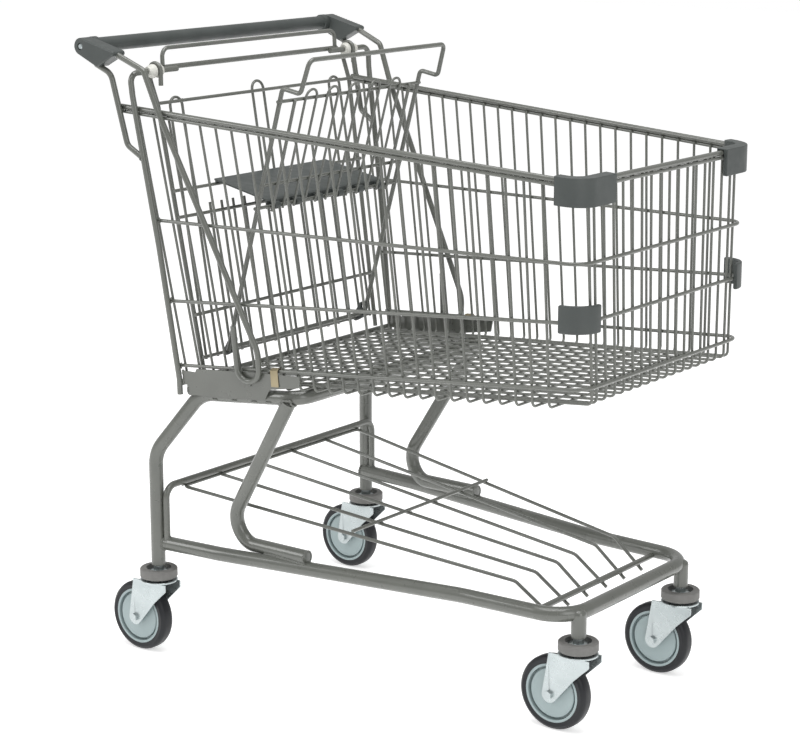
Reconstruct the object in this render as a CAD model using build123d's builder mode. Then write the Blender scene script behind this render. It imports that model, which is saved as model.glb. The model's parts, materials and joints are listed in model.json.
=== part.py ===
from build123d import *
import os

os.makedirs("parts", exist_ok=True)

# A nesting shopping trolley. +X is forward, +Y is the trolley's left, +Z is up and the floor is z = 0.
# Stations along the trolley are measured forward from the rear castor line.

# ---- driving dimensions, in millimetres ----
rear_line_x = -364.0            # the rear castor line, so that the origin is under the middle
wheelbase = 791.0
rear_half_track = 295.0
front_half_track = 160.0
tube = 25.0                     # base frame tube
tube_bore = 21.4
air = 0.02                      # hairline between welded pieces, and between the runs of a bent rod

wheel_radius = 62.5
trail = 41.5                    # the axle stands this far behind the swivel
tyre_half_width = 14.0
tyre_seat_radius = 49.5
cover_radius = 41.5
hub_boss_radius = 12.0
fork_inner = 18.0               # from the wheel's middle to the inside of a fork leg
fork_plate = 2.6
axle_radius = 4.0
axle_bore = 4.05
fork_head_z = 134.6             # underside of the fork's head plate
fork_head_radius = 33.0
neck_radius = 9.0
neck_bore = 9.05
ring_z = 141.6                  # underside of the rubber ring
ring_height = 17.0
ring_bore = 22.0
stem_foot_z = 164.0             # lower end of the posts and sockets

rim_rear = (-43.0, 968.0)       # station and height of the rim's rear end
rim_front_z = 909.6
basket_half_width = 311.0       # at the rim's rear end
side_taper = 0.0652             # the sides close in by this much for each step forward
side_lean = 0.0415              # and by this much for each step down
nose_foot = (843.5, 592.6)      # station and height of the lower ring across the front
nose_lean = 0.0178              # the front leans back by this much for each step up
floor_rise = 0.093              # the floor climbs towards the nose
floor_crease_x = 300.0          # and less steeply in front of the cross run under it
nose_rise = 0.080
floor_z = 489.0                 # cross wires of the floor, at the rear castor line

wire = 4.5                      # basket upright and floor wire
ring_wire = 6.0
ring_outboard = 1.5             # ring wires lie this far outboard of the basket's side surface
rim_diameter = 9.0
rod_diameter = 10.0             # corner, brace and handle rods
rod_outboard = 9.55             # and they lie this far outboard
side_wire_count = 25
front_wire_count = 18
foot_bend = 9.0                 # an upright wire turns into the floor on this radius
nose_bend = 30.0                # rim and rings turn across the front on this radius

hinge = (-11.5, 1025.0)         # station and height of the gate's hinge line
gate_foot = (63.4, 534.4)       # a point low on the gate's side rods
gate_head = (-8.0, 965.9)       # and one near their top
gate_rod = 8.0
gate_bar = 6.0
gate_wire = 5.0
gate_bar_front = 5.0            # bars stand this far in front of the side rods

seat_pivot = (81.0, 546.0)
seat_back_head = (210.0, 1004.0)
seat_back_half_width = 190.0
seat_rod = 8.0
seat_bar = 6.0
flap_hinge = (151.84, 797.5)

handle = (-110.0, 1066.0)
handle_tube_diameter = 22.0
grip_diameter = 25.0
cap_inner_y = 310.0
cap_outer_y = 338.0


# ---- helpers ----
def place(x, y, z):
    """A point at a station, a distance to the left and a height."""
    return Vector(rear_line_x + x, y, z)


def side_half_width(x, z):
    """Half the basket's width at a station and height."""
    return basket_half_width - side_taper * (x - rim_rear[0]) - side_lean * (rim_rear[1] - z)


def on_side(x, z, outboard=0.0):
    """A point on the basket's right side, or outboard of it."""
    return place(x, -side_half_width(x, z) - outboard, z)


def across(point):
    """The same point on the trolley's left side."""
    return Vector(point.X, -point.Y, point.Z)


def round_trip(points):
    """A right-hand route carried across to the left side."""
    return points + [across(p) for p in reversed(points)]


def along_line(start, end, x):
    """Height at a station, on the line between two (station, height) points."""
    return start[1] + (end[1] - start[1]) * (x - start[0]) / (end[0] - start[0])


def floor_level(x):
    """Height of the floor's cross wires at a station."""
    return floor_z + floor_rise * min(x, floor_crease_x) + nose_rise * max(x - floor_crease_x, 0)


def disc(centre, direction, diameter, bore=0.0):
    """A round section, or a tube's section, facing along a direction."""
    with BuildSketch(Plane(origin=centre, z_dir=direction), mode=Mode.PRIVATE) as section:
        Circle(diameter / 2)
        if bore:
            Circle(bore / 2, mode=Mode.SUBTRACT)
    return section.sketch


def rod(start, end, diameter, bore=0.0):
    """A straight round rod, or a tube, between two points."""
    reach = end - start
    return extrude(disc(start, reach, diameter, bore), amount=reach.length, mode=Mode.PRIVATE)


def bent_edges(points, bends):
    """The straight runs and the bends of a bent rod's middle line."""
    with BuildLine(mode=Mode.PRIVATE) as route:
        FilletPolyline(*points, radius=bends)
    return route.wire().order_edges()


def swept(path, diameter, bore=0.0):
    """A round section carried along a path."""
    return sweep(sections=disc(path @ 0, path % 0, diameter, bore), path=path, mode=Mode.PRIVATE)


def runs_along(edges, diameter, bore=0.0):
    """A rod along these edges. Each one is its own solid, a hairline from the next."""
    runs = []
    for edge in edges:
        if edge.length > 3 * air:
            nick = air / 2 / edge.length
            runs.append(swept(edge.trim(nick, 1 - nick), diameter, bore))
    return runs


def bent(points, bends, diameter, bore=0.0):
    """A bent rod or tube, each run and each bend its own solid."""
    return runs_along(bent_edges(points, bends), diameter, bore)


def whole(points, bends, diameter):
    """A bent rod in one piece."""
    return swept(Wire(bent_edges(points, bends)), diameter)


def turned(origin, axis, outline):
    """A turned piece, from an outline of (radius, distance along the axis) points."""
    if abs(axis[2]) > 0.5:
        radial = Vector(1, 0, 0)
    else:
        radial = Vector(0, 0, 1)
    plane = Plane(origin=origin, x_dir=radial, z_dir=radial.cross(Vector(*axis)))
    with BuildSketch(plane, mode=Mode.PRIVATE) as section:
        with BuildLine():
            Polyline(*outline, close=True)
        make_face()
    return revolve(section.sketch, axis=Axis(origin, axis), mode=Mode.PRIVATE)


def keep(piece, name):
    """Label a finished piece and write its file."""
    piece.part.label = name
    export_step(piece.part, f"parts/{name}.step")


# ---- base frame ----
plate_outboard = 6.0            # middle of the side plate, from the basket's side surface
plate_thickness = 2.4
top_run_z = floor_z - wire / 2 - tube / 2 - 0.15
cross_run_x = 300.0
slant_top_x = 91.0
slant_foot_z = 368.0
base_z = 203.0


def top_run(x):
    """A point on the middle of the top run, just inboard of the side plate."""
    z = top_run_z + floor_rise * x
    inboard = plate_thickness / 2 + tube / 2 + 0.1 - plate_outboard
    return place(x, -side_half_width(x, z) + inboard, z)


post_foot = place(0, -rear_half_track, stem_foot_z)
post_bend = place(0, -rear_half_track, slant_foot_z)
frame_route = round_trip([post_foot, post_bend, top_run(slant_top_x), top_run(cross_run_x)])
frame_bends = [60, 60, 34, 34, 60, 60]
with BuildPart() as upper_frame_tube:
    add(bent(frame_route, frame_bends, tube, tube_bore), clean=False)
keep(upper_frame_tube, "upper_frame_tube")

base_route = round_trip(
    [
        place(2, -288, base_z),
        place(130, -277, base_z),
        place(590, -200, base_z),
        place(wheelbase - 1, -191, base_z),
    ]
)
base_bends = [200, 200, 60, 60, 200, 200]
base_solid = whole(base_route, base_bends, tube + 2 * air)
frame_solid = whole(frame_route, frame_bends, tube + 2 * air)
with BuildPart() as base_tube:
    add(bent(base_route, base_bends, tube, tube_bore), clean=False)
    with Locations(post_foot, across(post_foot)):
        Cylinder(
            tube / 2 + air,
            200,
            align=(Align.CENTER, Align.CENTER, Align.MIN),
            mode=Mode.SUBTRACT,
        )
keep(base_tube, "base_tube")

leg_lap_z = base_z + tube - 5.5
leg_route = [
    place(279, -264.2, top_run_z + floor_rise * 279 - 6),
    place(137, -251.0, 262),
    place(170, -248.5, leg_lap_z),
    place(300, -247.5, leg_lap_z),
]
with BuildPart() as front_legs:
    add(bent(leg_route, [46, 34], tube, tube_bore), clean=False)
    add(frame_solid, mode=Mode.SUBTRACT)
    add(rod(base_route[1], base_route[2], tube + 2 * air), mode=Mode.SUBTRACT)
    mirror(about=Plane.XZ)
keep(front_legs, "front_legs")

socket_foot = place(wheelbase, -front_half_track, stem_foot_z)
with BuildPart() as front_sockets:
    add(rod(socket_foot, socket_foot + Vector(0, 0, base_z - stem_foot_z), tube, tube_bore))
    mirror(about=Plane.XZ)
    add(base_solid, mode=Mode.SUBTRACT)
keep(front_sockets, "front_sockets")

# ---- side plates and their clips ----
# A plate lies along the basket's side, so its outline is drawn on a plane that leans and tapers with it.
plate_datum_z = 500.0
plate_plane = Plane(
    origin=on_side(0, plate_datum_z, plate_outboard - plate_thickness / 2),
    x_dir=(1, side_taper, 0),
    z_dir=(side_taper, -1, -side_lean),
)
plate_outline = [
    (65.4, 23),
    (65.4, -1),
    (74.3, -1),
    (74.3, -17),
    (78, -19),
    (240, -4.5),
    (251, 14),
    (310, 24.4),
    (313.4, 44.8),
    (271, 41.7),
    (235, 41),
    (96, 29.4),
    (93, 23),
]
with BuildPart() as side_plates:
    with BuildSketch(plate_plane):
        with BuildLine():
            Polyline(*plate_outline, close=True)
        make_face()
    extrude(amount=plate_thickness)
    mirror(about=Plane.XZ)
    add(frame_solid, mode=Mode.SUBTRACT)
keep(side_plates, "side_plates")

lower_ring_rear = (56.0, 530.2)
lower_ring_z_rise = (nose_foot[1] - lower_ring_rear[1]) / (nose_foot[0] - lower_ring_rear[0])
clip_x = 253.4
clip_width = 15.4
clip_start = on_side(clip_x, along_line(lower_ring_rear, nose_foot, clip_x), ring_outboard)
ring_run = Vector(1, side_taper, lower_ring_z_rise).normalized()
clip_outline = [(6.4, -26), (6.4, 1.5), (3, 4.8), (-2.5, 4.8), (-3.9, 3), (-3.9, -3)]
with BuildPart() as retaining_clips:
    with BuildSketch(Plane(origin=clip_start, x_dir=(side_taper, -1, 0), z_dir=-ring_run)):
        with BuildLine():
            Polyline(*clip_outline)
        trace(line_width=1.0)
    extrude(amount=-clip_width)
    mirror(about=Plane.XZ)
keep(retaining_clips, "retaining_clips")

# ---- lower tray ----
hoop_diameter = 12.0
hoop_x = 18.0
hoop_y = 290.6
hoop_z = 307.5
tray_wire = 6.0
tray_rear_z = hoop_z - hoop_diameter / 2 - tray_wire / 2 - air
tray_kink = (661.5, 229.0)
tray_end = (724.0, 182.6)
tray_rows = [(245.8, 150.9, 142.9), (148.2, 91.3, 86.1), (49.4, 27.4, 29.4)]
with BuildPart() as tray_hoop:
    hoop_leg = [place(hoop_x, -hoop_y, 206), place(hoop_x, -hoop_y, hoop_z)]
    add(bent(round_trip(hoop_leg), [22, 22], hoop_diameter), clean=False)
    add(base_solid, mode=Mode.SUBTRACT)
keep(tray_hoop, "tray_hoop")

with BuildPart() as tray_wires:
    outer_rear, outer_kink, outer_end = tray_rows[0]
    outer_route = round_trip(
        [
            place(tray_end[0], -outer_end, tray_end[1]),
            place(tray_kink[0], -outer_kink, tray_kink[1]),
            place(hoop_x, -outer_rear, tray_rear_z),
        ]
    )
    add(bent(outer_route, [20, 9, 9, 20], tray_wire), clean=False)
    for rear_y, kink_y, end_y in tray_rows[1:]:
        for side in (-1, 1):
            inner_x = hoop_x + tray_wire / 2 + 0.35
            inner_z = along_line((hoop_x, tray_rear_z), tray_kink, inner_x)
            inner_route = [
                place(inner_x, side * rear_y, inner_z),
                place(tray_kink[0], side * kink_y, tray_kink[1]),
                place(tray_end[0], side * end_y, tray_end[1]),
            ]
            add(bent(inner_route, [20], tray_wire), clean=False)
    cross_x = 359.0
    cross_z = along_line((hoop_x, tray_rear_z), tray_kink, cross_x) + tray_wire + 0.09
    add(rod(place(cross_x, -197, cross_z), place(cross_x, 197, cross_z), tray_wire))
keep(tray_wires, "tray_wires")

tray_rod_diameter = 10.0
tray_rod_x = 718.0
tray_rod_z = along_line(tray_kink, tray_end, tray_rod_x) + 10.02
with BuildPart() as tray_front_rod:
    tray_rod_start = place(tray_rod_x, -190, tray_rod_z)
    add(rod(tray_rod_start, across(tray_rod_start), tray_rod_diameter))
    add(base_solid, mode=Mode.SUBTRACT)
keep(tray_front_rod, "tray_front_rod")

# ---- basket: rim and rings ----
def nose(z):
    """Station of the ring wires across the front, at a height."""
    return nose_foot[0] - nose_lean * (z - nose_foot[1])


rim_front = (nose(rim_front_z) - ring_outboard, rim_front_z)
rim_wire_drop = 7.6


def ring(rear, front_z):
    """A ring wire: forward along one side, across the front and back along the other."""
    route = [on_side(*rear, ring_outboard), on_side(nose(front_z), front_z, ring_outboard)]
    bend = nose_bend + ring_outboard
    return bent(round_trip(route), [bend, bend], ring_wire)


with BuildPart() as rim_rod:
    add(bent(round_trip([on_side(*rim_rear), on_side(*rim_front)]), [nose_bend, nose_bend], rim_diameter))
keep(rim_rod, "rim_rod")

with BuildPart() as rim_wire:
    add(ring((rim_rear[0], rim_rear[1] - rim_wire_drop), rim_front_z - rim_wire_drop))
keep(rim_wire, "rim_wire")

with BuildPart() as ring_upper:
    add(ring((21.0, 779.1), 786.2))
keep(ring_upper, "ring_upper")

with BuildPart() as ring_middle:
    add(ring((42.0, 641.5), 696.6))
keep(ring_middle, "ring_middle")

with BuildPart() as ring_lower:
    add(ring(lower_ring_rear, nose_foot[1]))
keep(ring_lower, "ring_lower")

# ---- basket: uprights and floor ----
upright_inboard = -(ring_wire / 2 + wire / 2 + air - ring_outboard)
wire_top_drop = 4.7             # upright wires end this far under the middle of the rim
first_top_x = -11.0
top_pitch = 32.52
first_ring_x = 63.3
ring_pitch = 29.77


def side_wire(number):
    """Right upright's top and foot corner, for one of the wires that run under the basket."""
    top_x = first_top_x + top_pitch * number
    top_z = along_line(rim_rear, rim_front, top_x) - wire_top_drop
    ring_x = first_ring_x + ring_pitch * number
    ring_level = along_line(lower_ring_rear, nose_foot, ring_x)
    run = (ring_x - top_x) / (top_z - ring_level)
    corner_x = ring_x + run * (ring_level - floor_level(ring_x))
    corner_z = floor_level(corner_x)
    return on_side(top_x, top_z, upright_inboard), on_side(corner_x, corner_z, upright_inboard)


right_wires = []
cross_wires = []
for number in range(side_wire_count):
    top, corner = side_wire(number)
    edges = bent_edges(round_trip([top, corner]), [foot_bend, foot_bend])
    right_wires += runs_along(edges[:2], wire)
    cross_wires += runs_along(edges[2:3], wire)

with BuildPart() as side_wires_right:
    add(right_wires, clean=False)
keep(side_wires_right, "side_wires_right")

with BuildPart() as side_wires_left:
    add(mirror(side_wires_right.part, about=Plane.XZ, mode=Mode.PRIVATE), clean=False)
keep(side_wires_left, "side_wires_left")

with BuildPart() as floor_cross_wires:
    add(cross_wires, clean=False)
keep(floor_cross_wires, "floor_cross_wires")

floor_rod_x = 60.0
floor_rod_z = 500.0
front_inboard = ring_wire / 2 + wire / 2 + 0.12
outer_spread = 0.945            # the two outer front wires stand clear of the corner bends
long_wire_lift = wire + air
front_wires_list = []
long_wires_list = []
for number in range(front_wire_count):
    spread = max(-outer_spread, min(outer_spread, -1 + 2 * number / (front_wire_count - 1)))
    rear_x = floor_rod_x + rod_diameter / 2 + 0.5
    corner_x = nose(567) - front_inboard
    top_z = rim_front_z - wire_top_drop
    crease_spread = 271.0 + (222.0 - 271.0) * (floor_crease_x - rear_x) / (corner_x - rear_x)
    rear = place(rear_x, 271.0 * spread, floor_level(rear_x) + long_wire_lift)
    crease_z = floor_level(floor_crease_x) + long_wire_lift + 0.05
    crease = place(floor_crease_x, crease_spread * spread, crease_z)
    corner = place(corner_x, 222.0 * spread, floor_level(corner_x) + long_wire_lift)
    top = place(nose(top_z) - front_inboard, 236.0 * spread, top_z)
    edges = bent_edges([rear, crease, corner, top], [150, foot_bend])
    floor_run = edges[0].length + edges[1].length + edges[2].length
    long_wires_list.append(swept(Wire(edges[:3]).trim(0, 1 - air / floor_run), wire))
    front_wires_list += runs_along(edges[3:], wire)

with BuildPart() as floor_long_wires:
    add(long_wires_list, clean=False)
keep(floor_long_wires, "floor_long_wires")

with BuildPart() as front_wires:
    add(front_wires_list, clean=False)
keep(front_wires, "front_wires")

with BuildPart() as floor_rear_rod:
    rod_end = on_side(floor_rod_x, floor_rod_z, rod_outboard - rod_diameter / 2 - 0.3)
    add(rod(rod_end, across(rod_end), rod_diameter))
keep(floor_rear_rod, "floor_rear_rod")

# ---- corner, brace and handle rods ----
pin_end_y = 207.0
corner_route = [
    place(hinge[0], -pin_end_y, hinge[1]),
    on_side(hinge[0], hinge[1], rod_outboard),
    on_side(-8.5, 988, rod_outboard),
    on_side(31, 735, rod_outboard),
    on_side(60.2, 508, rod_outboard),
    on_side(60.2, 481, rod_outboard),
]
corner_bends = [16, 60, 900, 60]
corner_solid = whole(corner_route, corner_bends, rod_diameter + 2 * air)
with BuildPart() as corner_rods:
    add(bent(corner_route, corner_bends, rod_diameter), clean=False)
    mirror(about=Plane.XZ)
keep(corner_rods, "corner_rods")

brace_outboard = plate_outboard + plate_thickness / 2 + rod_diameter / 2 + 0.08
brace_route = [
    on_side(-44, 1058, rod_outboard),
    on_side(18, 1032, rod_outboard),
    on_side(44, 966, rod_outboard),
    on_side(233.5, 577, brace_outboard),
    on_side(233.5, 524, brace_outboard),
    on_side(190, 524, brace_outboard),
    on_side(184, 616, brace_outboard),
]
brace_bends = [14, 150, 60, 21.6, 21.6]
with BuildPart() as brace_rods:
    add(bent(brace_route, brace_bends, rod_diameter), clean=False)
    mirror(about=Plane.XZ)
keep(brace_rods, "brace_rods")

handle_rod_route = [
    on_side(-84, 1037, rod_outboard),
    on_side(-53, 1023, rod_outboard),
    on_side(-25.5, 904, rod_outboard),
    on_side(4, 886, rod_outboard),
]
handle_rod_bends = [22, 16]
with BuildPart() as handle_rods:
    add(bent(handle_rod_route, handle_rod_bends, rod_diameter), clean=False)
    add(corner_solid, mode=Mode.SUBTRACT)
    mirror(about=Plane.XZ)
keep(handle_rods, "handle_rods")

# ---- hinge line ----
bushing_inner_y = 246.0
bushing_outer_y = 280.0
groove_y = 260.0
groove_half_width = 4.5
groove_radius = 8.0
flange_radius = 12.0
pin_bore = rod_diameter / 2 + air
bushing_outline = [
    (pin_bore, -bushing_inner_y),
    (8.5, -bushing_inner_y),
    (flange_radius, -251),
    (flange_radius, -groove_y + groove_half_width + 1),
    (groove_radius, -groove_y + groove_half_width),
    (groove_radius, -groove_y - groove_half_width),
    (flange_radius, -groove_y - groove_half_width - 1),
    (flange_radius, -268),
    (8.0, -bushing_outer_y),
    (pin_bore, -bushing_outer_y),
]
with BuildPart() as hinge_bushings:
    add(turned(place(hinge[0], 0, hinge[1]), (0, 1, 0), bushing_outline))
    mirror(about=Plane.XZ)
keep(hinge_bushings, "hinge_bushings")

crossbar_diameter = 9.0
crossbar = (hinge[0] - 9.1, hinge[1] + 2.84)
crossbar_end = place(crossbar[0], -237, crossbar[1])
guard_foot = place(crossbar[0], -232, crossbar[1] + crossbar_diameter / 2 + air)
guard_top = place(crossbar[0] - 1, -232, 1060.4)
with BuildPart() as hinge_crossbar:
    add(rod(crossbar_end, across(crossbar_end), crossbar_diameter))
    add(bent(round_trip([guard_foot, guard_top]), [15, 15], 7.5), clean=False)
keep(hinge_crossbar, "hinge_crossbar")

# ---- handle ----
handle_centre = place(handle[0], 0, handle[1])
tube_end = place(handle[0], -331, handle[1])
grip_end = place(handle[0], -cap_inner_y + 0.1, handle[1])
with BuildPart() as handle_tube:
    add(rod(tube_end, across(tube_end), handle_tube_diameter, 18.0))
keep(handle_tube, "handle_tube")

with BuildPart() as handle_sleeve:
    add(rod(grip_end, across(grip_end), grip_diameter, handle_tube_diameter + 2 * air))
keep(handle_sleeve, "handle_sleeve")

screw_head_radius = 5.5
screw_shank_radius = 2.5
cap_front_corners = [(-37.5, 1057.5), (-73.0, 1038.5)]
cap_corner_radius = 4.5
with BuildPart() as handle_caps:
    with BuildSketch(Plane(origin=place(0, -cap_outer_y, 0), x_dir=(1, 0, 0), z_dir=(0, -1, 0))):
        with BuildSketch(mode=Mode.PRIVATE) as cap_rounds:
            with Locations(handle):
                Circle(14.5)
            with Locations(*cap_front_corners):
                Circle(cap_corner_radius)
        make_hull(cap_rounds.sketch.edges())
    extrude(amount=-(cap_outer_y - cap_inner_y))
    fillet(handle_caps.faces().sort_by(Axis.Y)[0].edges(), 2.5)
    collar = [(12.5, 299), (15, 300), (15, cap_inner_y + 1), (12.5, cap_inner_y + 1)]
    add(turned(handle_centre, (0, -1, 0), collar))
    socket = [(0, 290), (grip_diameter / 2 + air, 290), (grip_diameter / 2 + air, cap_inner_y)]
    socket += [(handle_tube_diameter / 2 + air, cap_inner_y), (handle_tube_diameter / 2 + air, 331 + air)]
    socket += [(screw_shank_radius + air, 331 + air), (screw_shank_radius + air, 334), (6, 334), (6, 340)]
    add(turned(handle_centre, (0, -1, 0), socket + [(0, 340)]), mode=Mode.SUBTRACT)
    add(whole(brace_route[:3], brace_bends[:1], rod_diameter + 2 * air), mode=Mode.SUBTRACT)
    add(whole(handle_rod_route[:3], handle_rod_bends[:1], rod_diameter + 2 * air), mode=Mode.SUBTRACT)
    mirror(about=Plane.XZ)
keep(handle_caps, "handle_caps")

screw_outline = [
    (0, 318),
    (screw_shank_radius, 318),
    (screw_shank_radius, 334 + air),
    (screw_head_radius, 334 + air),
    (screw_head_radius, 336),
    (3.5, 337.6),
    (0, 337.6),
]
with BuildPart() as handle_screws:
    add(turned(handle_centre, (0, -1, 0), screw_outline))
    mirror(about=Plane.XZ)
keep(handle_screws, "handle_screws")

# ---- bumpers ----
def corner_band(z, side_end_x, front_end_y, inner, outer):
    """A guard's flat ribbon around the basket's right front corner at a height, open downwards."""
    middle = (inner + outer) / 2
    front_x = nose(z) - ring_outboard + middle
    band_side = on_side(side_end_x, z, middle)
    band_corner = on_side(front_x, z, middle)
    band_front = place(front_x, -front_end_y, z)
    with BuildSketch(Plane.XY, mode=Mode.PRIVATE) as ribbon:
        with BuildLine():
            FilletPolyline(
                (band_side.X, band_side.Y),
                (band_corner.X, band_corner.Y),
                (band_front.X, band_front.Y),
                radius=nose_bend + middle,
            )
        trace(line_width=outer - inner)
    return ribbon.sketch


with BuildPart() as upper_bumpers:
    ribbon = corner_band(912, 802, 168, 4.75, 12.6)
    extrude(Pos(0, 0, 873) * ribbon, amount=40)
    with Locations(place(813, -280, 897)):
        Box(40, 60, 40, align=(Align.MAX, Align.CENTER, Align.MIN), mode=Mode.SUBTRACT)
    mirror(about=Plane.XZ)
keep(upper_bumpers, "upper_bumpers")

with BuildPart() as lower_bumpers:
    ribbon = corner_band(697, 804, 209, 4.7, 11.6)
    extrude(Pos(0, 0, 679) * ribbon, amount=44)
    mirror(about=Plane.XZ)
keep(lower_bumpers, "lower_bumpers")

# ---- castors ----
swivels = {
    "rear_right": place(0, -rear_half_track, 0),
    "rear_left": place(0, rear_half_track, 0),
    "front_right": place(wheelbase, -front_half_track, 0),
    "front_left": place(wheelbase, front_half_track, 0),
}
upright_axis = (0, 0, 1)
rivet_top_z = fork_head_z - 0.4
stem_outline = [
    (0, 128),
    (11, 128),
    (13, 130),
    (13, rivet_top_z),
    (neck_radius, rivet_top_z),
    (neck_radius, stem_foot_z),
    (tube_bore / 2 - air, stem_foot_z),
    (tube_bore / 2 - air, 189),
    (0, 189),
]
ring_outline = [
    (ring_bore, ring_z),
    (31, ring_z),
    (33, ring_z + 2),
    (33, ring_z + ring_height - 2),
    (31, ring_z + ring_height),
    (ring_bore, ring_z + ring_height),
]
dish_outline = [
    (neck_radius + air, 152),
    (13, 152),
    (18, 149),
    (ring_bore - air, 149),
    (ring_bore - air, 151),
    (18.5, 151),
    (13.5, 154),
    (neck_radius + air, 154),
]
with BuildPart() as castor_stems:
    for centre in swivels.values():
        add(turned(centre, upright_axis, stem_outline))
keep(castor_stems, "castor_stems")

with BuildPart() as castor_rings:
    for centre in swivels.values():
        add(turned(centre, upright_axis, ring_outline))
keep(castor_rings, "castor_rings")

with BuildPart() as castor_dust_caps:
    for centre in swivels.values():
        add(turned(centre, upright_axis, dish_outline))
keep(castor_dust_caps, "castor_dust_caps")

head_plate_top = fork_head_z + 3.2
boss_top = 141.0
head_outline = [
    (neck_bore, fork_head_z),
    (fork_head_radius, fork_head_z),
    (fork_head_radius, head_plate_top - 0.8),
    (fork_head_radius - 0.8, head_plate_top),
    (20, head_plate_top),
    (17.5, boss_top),
    (neck_bore, boss_top),
]
leg_round = 14.0
leg_head = fork_head_z - air - wheel_radius
leg_outline = [(-2, leg_head), (-14, 0), (12, -8), (46, 33), (74, 60), (74, leg_head)]
bolt_axis = (0, 1, 0)
leg_face = fork_inner + fork_plate
nut_height = 5.6
bolt_tail = leg_face + nut_height + 2.0
tread_squash = 0.2              # the tyres are pressed flat by this much where they stand
tread_radius = wheel_radius + tread_squash
tyre_outline = [
    (tyre_seat_radius + air, -13.0),
    (56.5, -tyre_half_width),
    (60.8, -11.0),
    (62.3, -7.5),
    (tread_radius, -5.0),
    (tread_radius, 5.0),
    (62.3, 7.5),
    (60.8, 11.0),
    (56.5, tyre_half_width),
    (tyre_seat_radius + air, 13.0),
]
hub_outline = [
    (axle_bore, -17.4),
    (hub_boss_radius, -17.4),
    (hub_boss_radius, -4),
    (45.5, -4),
    (45.5, -13),
    (tyre_seat_radius, -13),
    (tyre_seat_radius, 13),
    (45.5, 13),
    (45.5, 4),
    (hub_boss_radius, 4),
    (hub_boss_radius, 17.4),
    (axle_bore, 17.4),
]
cover_outline = [
    (hub_boss_radius + air, 10.2),
    (39.5, 8.6),
    (39.5, 4 + air),
    (cover_radius, 4 + air),
    (cover_radius, 9.8),
    (40.5, 10.8),
    (hub_boss_radius + air, 12.4),
]
for corner_name, centre in swivels.items():
    axle = centre + Vector(-trail, 0, wheel_radius)

    with BuildPart() as fork:
        add(turned(centre, upright_axis, head_outline))
        with BuildSketch(Plane(origin=axle - Vector(0, fork_inner, 0), x_dir=(1, 0, 0), z_dir=(0, -1, 0))):
            Circle(leg_round)
            with BuildLine():
                Polyline(*leg_outline, close=True)
            make_face()
            Circle(axle_bore, mode=Mode.SUBTRACT)
        extrude(amount=fork_plate)
        with BuildSketch(Plane(origin=axle + Vector(0, fork_inner, 0), x_dir=(-1, 0, 0), z_dir=(0, 1, 0))):
            Circle(leg_round)
            with BuildLine():
                Polyline(*[(-x, z) for x, z in leg_outline], close=True)
            make_face()
            Circle(axle_bore, mode=Mode.SUBTRACT)
        extrude(amount=fork_plate)
    keep(fork, f"fork_{corner_name}")

    with BuildPart() as axle_bolt:
        add(rod(axle - Vector(0, leg_face + air, 0), axle + Vector(0, bolt_tail, 0), 2 * axle_radius))
        with BuildSketch(Plane(origin=axle - Vector(0, leg_face + air, 0), z_dir=(0, -1, 0))):
            RegularPolygon(7.5, 6)
        extrude(amount=5.3)
        with BuildSketch(Plane(origin=axle + Vector(0, leg_face + air, 0), z_dir=(0, 1, 0))):
            RegularPolygon(7.5, 6)
            Circle(axle_radius + air, mode=Mode.SUBTRACT)
        extrude(amount=nut_height)
    keep(axle_bolt, f"axle_bolt_{corner_name}")

    with BuildPart() as tyre:
        add(turned(axle, bolt_axis, tyre_outline))
        with Locations(Vector(axle.X, axle.Y, 0)):
            Box(40, 40, 10, align=(Align.CENTER, Align.CENTER, Align.MAX), mode=Mode.SUBTRACT)
    keep(tyre, f"tyre_{corner_name}")

    with BuildPart() as hub:
        add(turned(axle, bolt_axis, hub_outline))
    keep(hub, f"hub_{corner_name}")

    with BuildPart() as hub_covers:
        add(turned(axle, (0, 1, 0), cover_outline))
        add(turned(axle, (0, -1, 0), cover_outline))
    keep(hub_covers, f"hub_covers_{corner_name}")

# ---- gate ----
gate_run = Vector(gate_head[0] - gate_foot[0], 0, gate_head[1] - gate_foot[1]).normalized()
gate_normal = Vector(gate_run.Z, 0, -gate_run.X)


def on_gate(y, z, front=0.0):
    """A point in the plane of the gate's side rods, or in front of it."""
    x = gate_foot[0] + (gate_head[0] - gate_foot[0]) * (z - gate_foot[1]) / (gate_head[1] - gate_foot[1])
    return place(x, y, z) + gate_normal * front


def gate_bar_at(z, half_length):
    """A crossbar of the gate."""
    return rod(on_gate(-half_length, z, gate_bar_front), on_gate(half_length, z, gate_bar_front), gate_bar)


hook_radius = groove_radius + 0.4 + gate_rod / 2
hook_top = hinge[1] + hook_radius
gate_side_route = [
    on_gate(-240, 510),
    on_gate(-259, 968),
    place(hinge[0] - hook_radius, -groove_y, 1010),
    place(hinge[0] - hook_radius, -groove_y, hook_top),
    place(hinge[0] + hook_radius, -groove_y, hook_top),
    place(hinge[0] + hook_radius, -groove_y, 1001),
]
hook_bend = hook_radius - air / 2
gate_side_bends = [50, 30, hook_bend, hook_bend]
gate_side_solid = whole(gate_side_route[:3], gate_side_bends[:1], gate_rod + 2 * air)
hairpin_half_gap = 15.0
with BuildPart() as gate_frame:
    for bar_z, half_length in [(970, 262), (822, 256), (777, 253), (610, 247), (536, 243)]:
        add(gate_bar_at(bar_z, half_length))
    add(gate_side_solid, mode=Mode.SUBTRACT)
    add(mirror(gate_side_solid, about=Plane.XZ, mode=Mode.PRIVATE), mode=Mode.SUBTRACT)
    side_runs = bent(gate_side_route, gate_side_bends, gate_rod)
    add(side_runs, clean=False)
    add([mirror(run, about=Plane.XZ, mode=Mode.PRIVATE) for run in side_runs], clean=False)
keep(gate_frame, "gate_frame")

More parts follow.
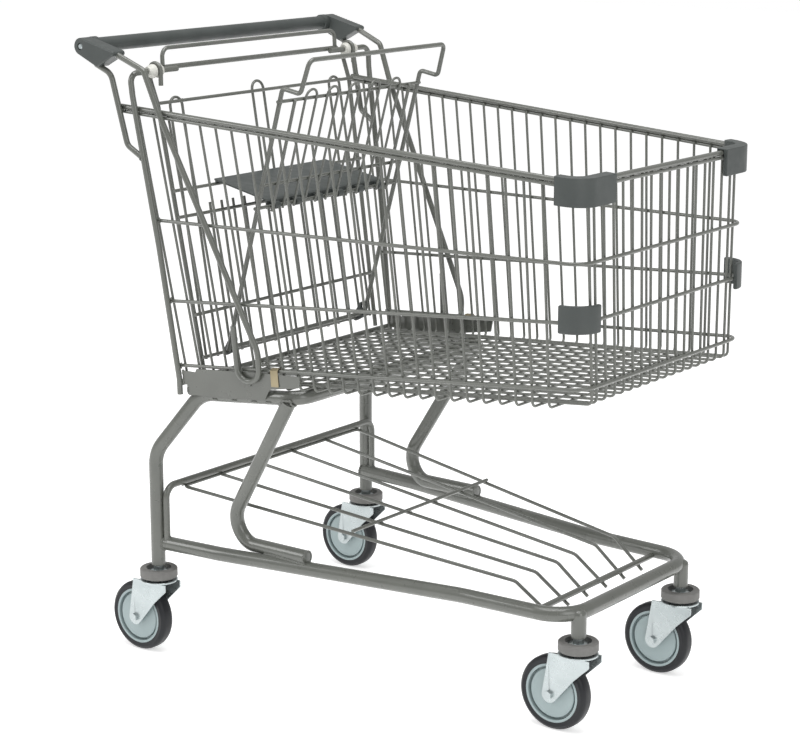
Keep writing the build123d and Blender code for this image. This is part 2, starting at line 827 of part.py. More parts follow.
gate_wire_front = gate_bar_front - gate_bar / 2 - gate_wire / 2 - air
with BuildPart() as gate_wires:
    for pin_y, pin_top, pin_foot in [(-214, 977, 531), (0, 987, 503), (214, 977, 531)]:
        hairpin = [
            on_gate(pin_y - hairpin_half_gap, pin_foot, gate_wire_front),
            on_gate(pin_y - hairpin_half_gap, pin_top, gate_wire_front),
            on_gate(pin_y + hairpin_half_gap, pin_top, gate_wire_front),
            on_gate(pin_y + hairpin_half_gap, pin_foot, gate_wire_front),
        ]
        add(bent(hairpin, [hairpin_half_gap - air / 2, hairpin_half_gap - air / 2], gate_wire), clean=False)
    for side in (-1, 1):
        for wire_y in (45, 75, 105, 135, 165):
            wire_foot = on_gate(side * wire_y, 531, gate_wire_front)
            add(rod(wire_foot, on_gate(side * wire_y, 793, gate_wire_front), gate_wire))
keep(gate_wires, "gate_wires")

# ---- seat back pivots ----
hook_y = 181.0
hook_width = 6.0
gate_bottom_bar = on_gate(0, 536, gate_bar_front)
pivot_slot = (84.0, 561.0)
with BuildPart() as pivot_hooks:
    with BuildSketch(Plane(origin=place(0, -hook_y, 0), x_dir=(1, 0, 0), z_dir=(0, -1, 0))):
        bar_local = (gate_bottom_bar.X - rear_line_x, gate_bottom_bar.Z)
        with BuildSketch(mode=Mode.PRIVATE) as bosses:
            with Locations(bar_local):
                Circle(6.5)
            with Locations(seat_pivot):
                Circle(8.5)
            with Locations(pivot_slot):
                Circle(7.5)
        make_hull(bosses.sketch.edges())
        with Locations(bar_local):
            Circle(gate_bar / 2 + air, mode=Mode.SUBTRACT)
        with Locations(seat_pivot):
            Circle(seat_rod / 2 + 0.05, mode=Mode.SUBTRACT)
        with Locations(pivot_slot):
            SlotOverall(10, 5, rotation=78, mode=Mode.SUBTRACT)
    extrude(amount=hook_width / 2, both=True)
    mirror(about=Plane.XZ)
keep(pivot_hooks, "pivot_hooks")

# ---- seat back ----
seat_run = Vector(seat_back_head[0] - seat_pivot[0], 0, seat_back_head[1] - seat_pivot[1]).normalized()
seat_normal = Vector(seat_run.Z, 0, -seat_run.X)


def on_seat_back(y, z, front=0.0):
    """A point in the plane of the seat back's side rods, or in front of it."""
    x = seat_pivot[0] + (z - seat_pivot[1]) * seat_run.X / seat_run.Z
    return place(x, y, z) + seat_normal * front


seat_side_route = [
    on_seat_back(-seat_back_half_width, 541),
    place(seat_back_head[0], -seat_back_half_width, seat_back_head[1]),
    place(248.5, -seat_back_half_width, 997),
    place(266, -186, 1053.5),
]
seat_side_bends = [8, 8, 12, 12, 8, 8]
seat_side_solid = rod(seat_side_route[0], on_seat_back(-seat_back_half_width, 990), seat_rod + 2 * air)
seat_wire_front = seat_bar / 2 + wire / 2 + air
with BuildPart() as seat_back_frame:
    flap_bar = place(flap_hinge[0], -198, flap_hinge[1])
    add(rod(flap_bar, across(flap_bar), seat_bar))
    for bar_z, half_length in [(837.3, 194), (981.4, 196)]:
        add(rod(on_seat_back(-half_length, bar_z), on_seat_back(half_length, bar_z), seat_bar))
    bottom_rod = place(seat_pivot[0], -seat_back_half_width, seat_pivot[1])
    add(rod(bottom_rod, across(bottom_rod), seat_rod))
    add(seat_side_solid, mode=Mode.SUBTRACT)
    add(mirror(seat_side_solid, about=Plane.XZ, mode=Mode.PRIVATE), mode=Mode.SUBTRACT)
    add(bent(round_trip(seat_side_route), seat_side_bends, seat_rod), clean=False)
keep(seat_back_frame, "seat_back_frame")

seat_half_gap = 14.4
inner_rod_diameter = 6.0
with BuildPart() as seat_back_wires:
    for hoop_number in range(-2, 3):
        hoop_y_middle = hoop_number * 4 * seat_half_gap
        hairpin = [
            on_seat_back(hoop_y_middle - seat_half_gap, 793, seat_wire_front),
            on_seat_back(hoop_y_middle - seat_half_gap, 998, seat_wire_front),
            on_seat_back(hoop_y_middle + seat_half_gap, 998, seat_wire_front),
            on_seat_back(hoop_y_middle + seat_half_gap, 793, seat_wire_front),
        ]
        add(bent(hairpin, [seat_half_gap - air / 2, seat_half_gap - air / 2], wire), clean=False)
    for side in (-1, 1):
        inner_front = seat_bar / 2 + inner_rod_diameter / 2 + air
        inner_foot = on_seat_back(side * 158, 791, inner_front)
        add(rod(inner_foot, on_seat_back(side * 158, 984, inner_front), inner_rod_diameter))
keep(seat_back_wires, "seat_back_wires")

# ---- seat flap ----
flap_rear = (20.5, 832.6)
flap_front = (141.3, 808.4)
flap_thickness = 3.0
flap_rear_half_width = 152.4
flap_front_half_width = 158.0
knuckle_radius = 6.6
knuckle_width = 14.0
knuckle_ys = [28.8, 86.4, 143.6]
flap_profile = [
    flap_rear,
    flap_front,
    (144.5, 805.2),
    (144.5, 791.4),
    (141.7, 791.4),
    (141.3, flap_front[1] - flap_thickness),
    (26, 828.5),
    (26, 825.9),
    (22.6, 825.9),
    (22.6, 829.2),
    (flap_rear[0], 829.6),
]
flap_plane = Plane(origin=place(0, 0, 0), x_dir=(1, 0, 0), z_dir=(0, -1, 0))
with BuildPart() as seat_flap:
    with BuildSketch(flap_plane):
        with BuildLine():
            Polyline(*flap_profile, close=True)
        make_face()
    extrude(amount=170, both=True)
    with BuildSketch(Plane.XY.offset(780)) as flap_plan:
        with BuildLine():
            Polyline(
                (rear_line_x + 10, -flap_rear_half_width),
                (rear_line_x + 150, -flap_front_half_width),
                (rear_line_x + 150, flap_front_half_width),
                (rear_line_x + 10, flap_rear_half_width),
                close=True,
            )
        make_face()
    extrude(amount=70, mode=Mode.INTERSECT)
    for side in (-1, 1):
        for knuckle_y in knuckle_ys:
            with BuildSketch(flap_plane.offset(-side * knuckle_y)):
                with Locations(flap_hinge):
                    Circle(knuckle_radius)
                    Rectangle(9, 12, align=(Align.MAX, Align.CENTER))
                    Circle(seat_bar / 2 + 0.05, mode=Mode.SUBTRACT)
            extrude(amount=knuckle_width / 2, both=True)
keep(seat_flap, "seat_flap")
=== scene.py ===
import bpy
import bmesh
import json
import math
from mathutils import Matrix, Vector


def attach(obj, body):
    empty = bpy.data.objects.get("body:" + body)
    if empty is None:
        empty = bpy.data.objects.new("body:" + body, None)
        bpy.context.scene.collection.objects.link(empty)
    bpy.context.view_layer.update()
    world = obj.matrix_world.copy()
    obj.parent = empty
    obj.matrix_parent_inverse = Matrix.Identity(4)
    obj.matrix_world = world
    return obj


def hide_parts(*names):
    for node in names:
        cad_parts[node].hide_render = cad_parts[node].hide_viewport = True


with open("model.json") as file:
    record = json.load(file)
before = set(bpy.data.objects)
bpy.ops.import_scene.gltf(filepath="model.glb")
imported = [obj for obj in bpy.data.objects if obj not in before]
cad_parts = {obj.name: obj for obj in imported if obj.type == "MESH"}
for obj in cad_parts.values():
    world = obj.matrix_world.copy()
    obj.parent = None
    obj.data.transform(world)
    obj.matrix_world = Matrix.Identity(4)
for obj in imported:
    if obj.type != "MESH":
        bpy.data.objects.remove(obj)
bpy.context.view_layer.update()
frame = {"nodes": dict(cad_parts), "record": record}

MM = 0.001


# ---- shader helpers ----
class Finish:
    """A node material under construction for one of the trolley's finishes."""

    def __init__(self, name):
        self.material = bpy.data.materials.new(name)
        self.material.use_nodes = True
        self.nodes = self.material.node_tree.nodes
        self.links = self.material.node_tree.links
        self.shader = self.nodes["Principled BSDF"]
        self.coordinates = self.nodes.new("ShaderNodeTexCoord").outputs["Object"]

    def fixed(self, **values):
        """Set the shader's own sockets. Underscores stand for spaces."""
        for label, value in values.items():
            self.shader.inputs[label.replace("_", " ")].default_value = value

    def mottle(self, scale, detail=3.0, roughness=0.5, stretch=None):
        """A noise over the surface, from 0 to 1."""
        noise = self.nodes.new("ShaderNodeTexNoise")
        noise.inputs["Scale"].default_value = scale
        noise.inputs["Detail"].default_value = detail
        noise.inputs["Roughness"].default_value = roughness
        source = self.coordinates
        if stretch:
            mapping = self.nodes.new("ShaderNodeMapping")
            mapping.inputs["Scale"].default_value = stretch
            self.links.new(self.coordinates, mapping.inputs["Vector"])
            source = mapping.outputs["Vector"]
        self.links.new(source, noise.inputs["Vector"])
        return noise.outputs["Fac"]

    def remap(self, value, low_in, high_in, low_out, high_out):
        """The value, stretched from one range to another."""
        node = self.nodes.new("ShaderNodeMapRange")
        node.inputs["From Min"].default_value = low_in
        node.inputs["From Max"].default_value = high_in
        node.inputs["To Min"].default_value = low_out
        node.inputs["To Max"].default_value = high_out
        self.links.new(value, node.inputs["Value"])
        return node.outputs["Result"]

    def tint(self, value, stops):
        """Colours along the value, as (position, (red, green, blue)) stops."""
        ramp = self.nodes.new("ShaderNodeValToRGB")
        elements = ramp.color_ramp.elements
        while len(elements) < len(stops):
            elements.new(0.5)
        for element, (position, colour) in zip(elements, stops):
            element.position = position
            element.color = (*colour, 1.0)
        self.links.new(value, ramp.inputs["Fac"])
        return ramp.outputs["Color"]

    def colour(self, output):
        self.links.new(output, self.shader.inputs["Base Color"])

    def roughness(self, output):
        self.links.new(output, self.shader.inputs["Roughness"])

    def relief(self, height, distance, strength=1.0, under=None):
        """Surface relief of a depth in metres, on top of a coarser one if given."""
        bump = self.nodes.new("ShaderNodeBump")
        bump.inputs["Strength"].default_value = strength
        bump.inputs["Distance"].default_value = distance
        self.links.new(height, bump.inputs["Height"])
        if under:
            self.links.new(under, bump.inputs["Normal"])
        return bump.outputs["Normal"]

    def finish(self, normal=None):
        if normal:
            self.links.new(normal, self.shader.inputs["Normal"])
        return self.material


def powder_coat(name, light, dark):
    """Semi-gloss powder coat: orange peel, slow colour drift and uneven gloss."""
    coat = Finish(name)
    coat.fixed(Specular_IOR_Level=0.5, Coat_Weight=0.6, Coat_Roughness=0.12)
    drift = coat.mottle(9.0, 4.0, 0.6)
    coat.colour(coat.tint(drift, [(0.32, dark), (0.68, light)]))
    coat.roughness(coat.remap(coat.mottle(38.0, 3.0), 0.3, 0.7, 0.24, 0.36))
    wave = coat.relief(coat.mottle(420.0, 2.0), 0.00012, 0.55)
    return coat.finish(coat.relief(coat.mottle(1900.0, 2.0), 0.00003, 0.5, wave))


def moulded_plastic(name, light, dark, low_gloss, high_gloss):
    """Moulded plastic with a fine spark-eroded grain."""
    plastic = Finish(name)
    plastic.fixed(Specular_IOR_Level=0.42)
    plastic.colour(plastic.tint(plastic.mottle(14.0, 4.0), [(0.3, dark), (0.7, light)]))
    plastic.roughness(plastic.remap(plastic.mottle(60.0, 3.0), 0.3, 0.7, low_gloss, high_gloss))
    grain = plastic.relief(plastic.mottle(1500.0, 3.0), 0.00005, 0.6)
    return plastic.finish(grain)


def zinc_plate(name, light, dark, low_gloss, high_gloss):
    """Electroplated sheet steel, with faint rolling marks and a cloudy gloss."""
    zinc = Finish(name)
    zinc.fixed(Metallic=0.82)
    cloud = zinc.mottle(26.0, 3.0, 0.5)
    zinc.colour(zinc.tint(cloud, [(0.3, dark), (0.7, light)]))
    zinc.roughness(zinc.remap(zinc.mottle(90.0, 3.0), 0.3, 0.7, low_gloss, high_gloss))
    marks = zinc.relief(zinc.mottle(500.0, 2.0, 0.5, (1.0, 1.0, 0.08)), 0.00001, 0.3)
    return zinc.finish(marks)


def rubber(name, light, dark, low_gloss, high_gloss):
    """Vulcanised rubber, dusty in patches."""
    tread = Finish(name)
    tread.fixed(Specular_IOR_Level=0.35)
    dust = tread.mottle(75.0, 6.0, 0.65)
    tread.colour(tread.tint(dust, [(0.35, dark), (0.75, light)]))
    tread.roughness(tread.remap(dust, 0.3, 0.7, low_gloss, high_gloss))
    pores = tread.relief(tread.mottle(1300.0, 4.0), 0.00006, 0.6)
    return tread.finish(pores)


finishes = {
    "frame_coat": powder_coat("grey_powder_coat", (0.112, 0.117, 0.103), (0.090, 0.095, 0.083)),
    "guard_plastic": moulded_plastic(
        "dark_guard_plastic", (0.060, 0.068, 0.065), (0.047, 0.054, 0.052), 0.36, 0.50
    ),
    "bright_zinc": zinc_plate("bright_zinc_plate", (0.50, 0.545, 0.55), (0.42, 0.465, 0.47), 0.24, 0.34),
    "clip_zinc": zinc_plate("yellow_zinc_plate", (0.34, 0.29, 0.19), (0.24, 0.205, 0.13), 0.30, 0.45),
    "bushing_nylon": moulded_plastic(
        "natural_nylon", (0.60, 0.60, 0.56), (0.52, 0.52, 0.48), 0.35, 0.48
    ),
    "ring_rubber": rubber("grey_buffer_rubber", (0.185, 0.182, 0.174), (0.145, 0.143, 0.137), 0.50, 0.68),
    "tyre": rubber("black_tyre_rubber", (0.014, 0.015, 0.018), (0.008, 0.009, 0.011), 0.32, 0.50),
    "hub_plastic": moulded_plastic(
        "grey_hub_plastic", (0.325, 0.395, 0.40), (0.29, 0.355, 0.36), 0.28, 0.40
    ),
}

# Sheet and moulded pieces have broken edges, of this radius in millimetres.
edge_rounds = {
    "side_plates": 0.5,
    "retaining_clips": 0.35,
    "lower_bumpers": 2.2,
    "seat_flap": 0.8,
    "pivot_hooks": 0.9,
    "handle_screws": 0.5,
}
castors = ["rear_right", "rear_left", "front_right", "front_left"]
for castor in castors:
    edge_rounds[f"fork_{castor}"] = 0.7
    edge_rounds[f"axle_bolt_{castor}"] = 0.25


def smooth_shaded(piece, round_mm=0.0):
    """Shade a piece smooth but for its creases, with its edges rounded if asked."""
    for face in piece.data.polygons:
        face.use_smooth = True
    joined = piece.modifiers.new("joined", "WELD")
    joined.merge_threshold = 0.000004
    if round_mm:
        rounded = piece.modifiers.new("rounded", "BEVEL")
        rounded.width = round_mm * MM
        rounded.segments = 3
        rounded.limit_method = "ANGLE"
        rounded.angle_limit = math.radians(40)
    creased = piece.modifiers.new("creased", "EDGE_SPLIT")
    creased.split_angle = math.radians(33)
    if round_mm:
        piece.modifiers.new("flattened", "WEIGHTED_NORMAL")


slot_of = {part["node"]: part["material_slot"] for part in frame["record"]["subparts"]}
for node, piece in frame["nodes"].items():
    for material_slot in piece.material_slots:
        material_slot.material = finishes[slot_of[node]]
    smooth_shaded(piece, edge_rounds.get(node, 0.0))

# ---- welds ----
# Stations run forward from the rear castor line, in millimetres, as the frame is set out.
REAR_LINE = -364.0
TUBE = 12.5             # radius of the frame's tubes
POST_Y = 295.0
RIM_REAR = (-43.0, 968.0)
RIM_HALF_WIDTH = 311.0  # half the basket's width at the rim's rear end
SIDE_TAPER = 0.0652     # the sides close in by this much for each step forward
SIDE_LEAN = 0.0415      # and by this much for each step down
RIPPLE_SWELL = 0.12     # how far a bead's ripples differ in size
RIPPLE_STEP = 2.1       # and how fast they change along it
RIPPLE_LAP = 0.7        # spacing of a short bead's ripples, in radii


def station(x, y, z):
    """A point at a station, a distance to the left and a height."""
    return Vector(((REAR_LINE + x) * MM, y * MM, z * MM))


def basket_side(x, z, outboard=0.0):
    """A point on the basket's right side, or outboard of it."""
    half = RIM_HALF_WIDTH - SIDE_TAPER * (x - RIM_REAR[0]) - SIDE_LEAN * (RIM_REAR[1] - z)
    return station(x, -half - outboard, z)


class Welds:
    """Weld beads on one body, each a row of overlapping ripples."""

    def __init__(self):
        self.build = bmesh.new()

    def ripple(self, point, size):
        """One ripple of a bead."""
        place = Matrix.Translation(point) @ Matrix.Diagonal((size, size, size, 1.0))
        bmesh.ops.create_icosphere(self.build, subdivisions=2, radius=MM, matrix=place)

    def run(self, points, size):
        """A bead along these points, its ripples uneven in size."""
        for number, point in enumerate(points):
            self.ripple(point, size * (1.0 + RIPPLE_SWELL * math.sin(RIPPLE_STEP * number)))

    def both(self, points, size):
        """The same bead on the right and on the left."""
        self.run(points, size)
        self.run([Vector((p.x, -p.y, p.z)) for p in points], size)

    def dab(self, point, run, size=2.2, count=3):
        """A short bead at a crossing, on the right and on the left."""
        step = Vector(run).normalized() * size * RIPPLE_LAP * MM
        start = point - step * (count - 1) / 2
        self.both([start + step * number for number in range(count)], size)

    def done(self, name, body):
        """Make the beads one piece that rides this body."""
        mesh = bpy.data.meshes.new(name)
        self.build.to_mesh(mesh)
        self.build.free()
        piece = bpy.data.objects.new(name, mesh)
        bpy.context.scene.collection.objects.link(piece)
        mesh.materials.append(finishes["frame_coat"])
        for face in mesh.polygons:
            face.use_smooth = True
        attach(piece, body)


def saddle(foot, reach, radius, other, along, other_radius, count=40):
    """Seam of a round bar that runs from foot along reach into the side of another bar."""
    reach = Vector(reach).normalized()
    along = Vector(along).normalized()
    side = reach.orthogonal().normalized()
    up = reach.cross(side)
    seam = []
    for number in range(count):
        turn = 2 * math.pi * number / count
        start = foot + (side * math.cos(turn) + up * math.sin(turn)) * radius * MM
        gap = start - other
        gap -= along * gap.dot(along)
        slope = reach - along * reach.dot(along)
        square = slope.dot(slope)
        half = gap.dot(slope) / square
        rest = (gap.dot(gap) - (other_radius * MM) ** 2) / square
        seam.append(start + reach * (-half - math.sqrt(max(half * half - rest, 0.0))))
    return seam


base_z = 203.0
base_bend = (130.0, 277.0)
base_nose = (590.0, 200.0)
base_slope = (base_bend[1] - base_nose[1]) / (base_nose[0] - base_bend[0])
frame_welds = Welds()

# The base tube into the posts, and the tray hoop's feet onto the base tube.
post = station(0, -POST_Y, base_z)
base_start = station(60, -283, base_z)
base_run = station(2, -288, base_z) - base_start
frame_welds.both(saddle(base_start, base_run, TUBE, post, (0, 0, 1), TUBE, 52), 2.0)
hoop_foot = station(18, -290.6, 250)
base_line = station(18, -286.6, base_z)
frame_welds.both(saddle(hoop_foot, (0, 0, -1), 6.0, base_line, base_run, TUBE, 30), 1.7)

# The front legs along the base tube, with their ends welded shut, and up into the top runs.
leg_z = base_z + 2 * TUBE - 5.5
lap_start = 215.0
lap_pitch = 1.6
lap_ripples = 54
for side in (-1, 1):
    lap = []
    for number in range(lap_ripples):
        x = lap_start + number * lap_pitch
        leg_y = -248.5 + (x - 170) / 130
        base_y = -base_bend[1] + (x - base_bend[0]) * base_slope
        apart = math.hypot(leg_y - base_y, leg_z - base_z)
        if apart < 2 * TUBE:
            half_chord = math.sqrt(TUBE**2 - apart**2 / 4)
            across = Vector((0, leg_z - base_z, base_y - leg_y)) / apart * side * half_chord
            seam_y = (leg_y + base_y) / 2 + across.y
            seam_z = (leg_z + base_z) / 2 + across.z
            lap.append(station(x, seam_y, seam_z))
    frame_welds.both(lap, 3.3)
leg_end = station(300, -247.5, leg_z)
end_bead = []
for number in range(57):
    turn = number / 9
    around = Vector((0.4, math.sin(turn) * 11.4, math.cos(turn) * 11.4))
    end_bead.append(leg_end + around * MM)
frame_welds.both(end_bead, 1.5)


def rounded_end(centre, reach, radius, depth):
    """The closed, domed end of a tube, turned from its half section."""
    reach = Vector(reach).normalized()
    side = reach.orthogonal().normalized()
    rim = [frame_welds.build.verts.new(centre + side * radius * MM)]
    for step in range(1, 6):
        turn = math.pi / 2 * step / 5
        out = side * radius * math.cos(turn) + reach * depth * math.sin(turn)
        rim.append(frame_welds.build.verts.new(centre + out * MM))
    edges = [frame_welds.build.edges.new(pair) for pair in zip(rim, rim[1:])]
    bmesh.ops.spin(
        frame_welds.build,
        geom=rim + edges,
        cent=centre,
        axis=reach,
        angle=2 * math.pi,
        steps=32,
        use_merge=True,
    )


for side in (-1, 1):
    rounded_end(Vector((leg_end.x, side * leg_end.y, leg_end.z)), (1, 0, 0), 11.6, 1.6)
    rounded_end(station(791, side * 160, base_z), (0, 0, 1), 12.45, 8.5)
top_z = 489.0 - 2.25 - TUBE - 0.15
floor_rise = 0.093
leg_top = station(279, -264.2, top_z + floor_rise * 279 - 6)
leg_knee = station(137, -251.0, 262)
run_inboard = 1.2 + TUBE + 0.1 - 6.0


def top_run(x):
    """The middle of the top run at a station."""
    return basket_side(x, top_z + floor_rise * x, -run_inboard)


leg_foot = leg_knee.lerp(leg_top, 0.5)
leg_reach = (leg_top - leg_knee).normalized()
for side in (-1, 1):
    mouth = leg_top - leg_reach * 7.0 * MM
    mirrored = Vector((mouth.x, side * mouth.y, mouth.z))
    rounded_end(mirrored, (leg_reach.x, side * leg_reach.y, leg_reach.z), 12.45, 9.0)
top_line = top_run(300) - top_run(91)
frame_welds.both(saddle(leg_foot, leg_top - leg_knee, TUBE, top_run(200), top_line, TUBE, 52), 2.0)

# The plates to the top runs, and the corner and brace rods to the plates.
for x in (90, 130, 172, 214, 244):
    frame_welds.dab(top_run(x) + Vector((0, -TUBE * 0.92 * MM, -TUBE * 0.5 * MM)), top_line, 1.8, 7)
for x, z in ((66.5, 520), (66.5, 504), (75.5, 490)):
    frame_welds.dab(basket_side(x, z, 7.0), (0, 0, 1), 2.0, 5)
for x, z in ((239.5, 556), (227.5, 542), (211, 518.6), (194, 542)):
    frame_welds.dab(basket_side(x, z, 8.4), (0, 0, 1), 1.7, 5)

# The rim and the ring wires onto the corner rods, the brace rods and the handle rods.
for x, z in ((31.0, 779.5), (47.0, 643.5), (61.5, 530.8)):
    for step in (-5.2, 5.2):
        frame_welds.dab(basket_side(x, z + step * 0.6, 4.9), (0.15, 0, 1), 1.6, 3)
for x, z in ((-34, 967.2), (-4, 965.2), (45, 962)):
    frame_welds.dab(basket_side(x, z - 3.6, 4.9), (1, 0, 0), 1.8, 5)
    frame_welds.dab(basket_side(x, z + 3.8, 4.9), (1, 0, 0), 1.8, 5)
frame_welds.dab(basket_side(-1.5, 889.5, 9.5), (1, 0, -0.6), 2.2, 3)
frame_welds.dab(basket_side(1.5, 881.5, 9.5), (1, 0, -0.6), 2.2, 3)
frame_welds.dab(basket_side(-9.5, 1011, 9.5), (0.1, 0, 1), 1.8, 4)

# The tray's wires to the hoop, to the cross wire and to the front rod.
for y in (49.4, 148.2):
    frame_welds.dab(station(21.2, -y, 304.2), (0, 1, 0), 1.7, 4)
frame_welds.dab(station(18, -246, 300.8), (0, 1, 0), 1.8, 5)
tray_share = (359.0 - 18.0) / (661.5 - 18.0)   # how far along the wires the cross wire lies
cross_z = 298.5 + (229.0 - 298.5) * tray_share + 3.0
for rear_y, kink_y in ((148.2, 91.3), (49.4, 27.4)):
    y = rear_y + (kink_y - rear_y) * tray_share
    for step in (-3.4, 3.4):
        frame_welds.dab(station(359 + step, -y, cross_z), (0, 1, 0), 1.3, 3)
for end_y in (142.9, 86.1, 29.4):
    for step in (-3.0, 3.0):
        frame_welds.dab(station(716.5, step - end_y, 191.6), (1, 0, -0.74), 1.3, 3)
frame_welds.done("frame_welds", "trolley_body")


# ---- welds of the gate and of the seat back ----
def gate_point(y, z, front=0.0):
    """A point in the plane of the gate's side rods, or in front of it."""
    run = Vector((-71.4, 0, 431.5)).normalized()
    x = 63.4 - 71.4 * (z - 534.4) / 431.5
    return station(x, y, z) + Vector((run.z, 0, -run.x)) * front * MM


gate_welds = Welds()
for bar_z, rod_y in ((822, 253.2), (777, 251.3), (610, 244.3), (536, 241.2)):
    for step in (-3.6, 3.6):
        gate_welds.dab(gate_point(-rod_y, bar_z + step, 2.6), (0, 1, 0), 1.4, 4)
for bar_z in (970, 822, 777, 610, 536):
    for pin_y in (199, 229):
        gate_welds.dab(gate_point(-pin_y, bar_z + 2.6, 1.2), (0, 1, 0), 1.1, 3)
for bar_z in (777, 610, 536):
    for wire_y in (45, 75, 105, 135, 165):
        gate_welds.dab(gate_point(-wire_y, bar_z + 2.6, 1.2), (0, 1, 0), 1.1, 3)
gate_welds.done("gate_welds", "gate")


def seat_point(y, z, front=0.0):
    """A point in the plane of the seat back's side rods, or in front of it."""
    run = Vector((129.0, 0, 458.0)).normalized()
    x = 81.0 + (z - 546.0) * run.x / run.z
    return station(x, y, z) + Vector((run.z, 0, -run.x)) * front * MM


seat_welds = Welds()
for bar_z in (797.5, 837.3, 981.4):
    for step in (-3.6, 3.6):
        seat_welds.dab(seat_point(-186.6, bar_z + step, 1.0), (0, 1, 0), 1.4, 3)
for bar_z in (837.3, 981.4):
    for wire_y in (14.4, 43.2, 72.0, 100.8, 129.6, 158):
        seat_welds.dab(seat_point(-wire_y, bar_z + 2.6, 2.2), (0, 1, 0), 1.1, 3)
seat_welds.done("seat_back_welds", "seat_back")

# ---- upper corner guards ----
# Each guard's profile is carried round the basket's corner: a wall outside the rim, a
# flange over it and a lip behind it, as (distance outboard, height) points.
guard_profile = [
    (4.9, 873.0),
    (12.6, 873.0),
    (12.6, 917.4),
    (-7.6, 917.4),
    (-7.6, 907.5),
    (-5.0, 907.5),
    (-5.0, 914.6),
    (4.9, 914.6),
]
RIM_FALL = 0.0664       # the rim falls by this much for each step forward
rim_nose = station(836.3, 0, 0)
nose_bend = 30.0
side_reach = 9.0
front_reach = 55.0
corner_middle = station(806.3, -223.2, 0)
side_heading = Vector((1, SIDE_TAPER, 0)).normalized()
side_outward = Vector((SIDE_TAPER, -1, 0)).normalized()
guards = bmesh.new()
outline = []
for outboard, z in guard_profile:
    on_bend = corner_middle + side_outward * (nose_bend + outboard) * MM
    start = on_bend - side_heading * side_reach * MM
    outline.append(guards.verts.new(start + Vector((0, 0, z * MM))))
section = guards.faces.new(outline)


def carried(face, reach):
    """Extrude the guard's open end along a straight run, and return its new end."""
    grown = bmesh.ops.extrude_discrete_faces(guards, faces=[face])["faces"][0]
    bmesh.ops.translate(guards, verts=grown.verts, vec=reach)
    return grown


section = carried(section, side_heading * side_reach * MM)
turn = math.pi / 2 - math.atan(SIDE_TAPER)
bent_round = bmesh.ops.spin(
    guards, geom=[section], cent=corner_middle, axis=(0, 0, 1), angle=turn, steps=12, use_merge=False
)
section = [item for item in bent_round["geom_last"] if isinstance(item, bmesh.types.BMFace)][0]
carried(section, Vector((0, front_reach * MM, 0)))
bmesh.ops.remove_doubles(guards, verts=guards.verts, dist=0.000002)
for corner in guards.verts:
    corner.co.z += RIM_FALL * (rim_nose.x - corner.co.x)
right_guard = guards.verts[:] + guards.edges[:] + guards.faces[:]
bmesh.ops.mirror(guards, geom=right_guard, axis="Y", merge_dist=-1)
bmesh.ops.recalc_face_normals(guards, faces=guards.faces)
guard_mesh = bpy.data.meshes.new("upper_corner_guards")
guards.to_mesh(guard_mesh)
guards.free()
corner_guards = bpy.data.objects.new("upper_corner_guards", guard_mesh)
bpy.context.scene.collection.objects.link(corner_guards)
guard_mesh.materials.append(finishes["guard_plastic"])
smooth_shaded(corner_guards, 1.2)
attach(corner_guards, "trolley_body")
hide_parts("upper_bumpers")

# ---- floor, light and camera ----
floor_mesh = bpy.data.meshes.new("floor")
floor_build = bmesh.new()
bmesh.ops.create_grid(floor_build, x_segments=8, y_segments=8, size=14.0)
floor_build.to_mesh(floor_mesh)
floor_build.free()
floor = bpy.data.objects.new("floor", floor_mesh)
bpy.context.scene.collection.objects.link(floor)
floor_paint = Finish("pale_floor")
floor_paint.fixed(
    Base_Color=(0.93, 0.93, 0.93, 1.0),
    Roughness=0.7,
    Specular_IOR_Level=0.2,
    Emission_Color=(1.0, 1.0, 1.0, 1.0),
    Emission_Strength=0.50,
)
floor_mesh.materials.append(floor_paint.material)

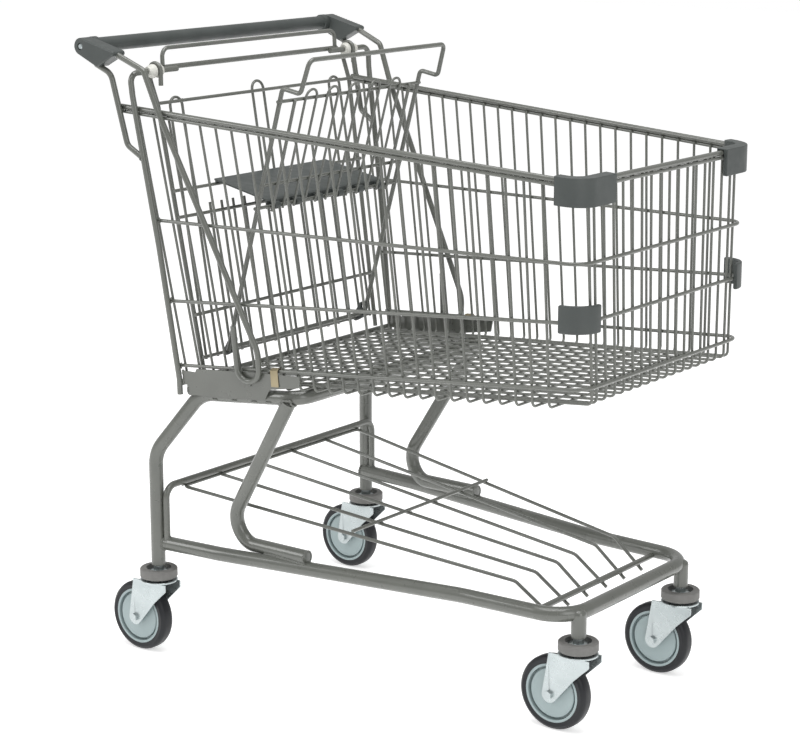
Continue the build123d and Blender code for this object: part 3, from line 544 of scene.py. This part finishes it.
# The studio's walls are white, and lit more brightly than they light the trolley.
world = bpy.data.worlds.new("studio")
bpy.context.scene.world = world
world.use_nodes = True
walls = world.node_tree.nodes["Background"]
walls.inputs["Color"].default_value = (1.0, 1.0, 1.0, 1.0)
walls.inputs["Strength"].default_value = 0.55
bright_walls = world.node_tree.nodes.new("ShaderNodeBackground")
bright_walls.inputs["Color"].default_value = (1.0, 1.0, 1.0, 1.0)
bright_walls.inputs["Strength"].default_value = 1.0
seen = world.node_tree.nodes.new("ShaderNodeLightPath").outputs["Is Camera Ray"]
shown = world.node_tree.nodes.new("ShaderNodeMixShader")
world.node_tree.links.new(seen, shown.inputs["Fac"])
world.node_tree.links.new(walls.outputs["Background"], shown.inputs[1])
world.node_tree.links.new(bright_walls.outputs["Background"], shown.inputs[2])
world.node_tree.links.new(shown.outputs["Shader"], world.node_tree.nodes["World Output"].inputs["Surface"])


def softbox(name, place, aim, width, height, power):
    """A rectangular studio light."""
    lamp = bpy.data.lights.new(name, "AREA")
    lamp.shape = "RECTANGLE"
    lamp.size = width
    lamp.size_y = height
    lamp.energy = power
    holder = bpy.data.objects.new(name, lamp)
    holder.location = place
    holder.rotation_euler = (Vector(aim) - Vector(place)).to_track_quat("-Z", "Y").to_euler()
    bpy.context.scene.collection.objects.link(holder)


softbox("overhead", (0.2, -0.4, 3.4), (0.0, 0.0, 0.4), 2.4, 2.4, 70)
softbox("key_left", (-2.6, -3.0, 2.6), (0.0, 0.0, 0.5), 1.4, 2.0, 42)
softbox("fill_right", (3.2, -1.4, 1.8), (0.0, 0.0, 0.5), 1.6, 2.2, 25)

camera_data = bpy.data.cameras.new("camera")
camera_data.lens = 100.75
camera_data.sensor_width = 36.0
camera_data.clip_end = 60.0
camera = bpy.data.objects.new("camera", camera_data)
camera.location = (2.2548, -3.0237, 1.404)
look = Vector((-0.0545, 0.0, 0.492)) - camera.location
camera.rotation_euler = look.to_track_quat("-Z", "Y").to_euler()
bpy.context.scene.collection.objects.link(camera)
bpy.context.scene.camera = camera
bpy.context.scene.view_settings.view_transform = "Standard"
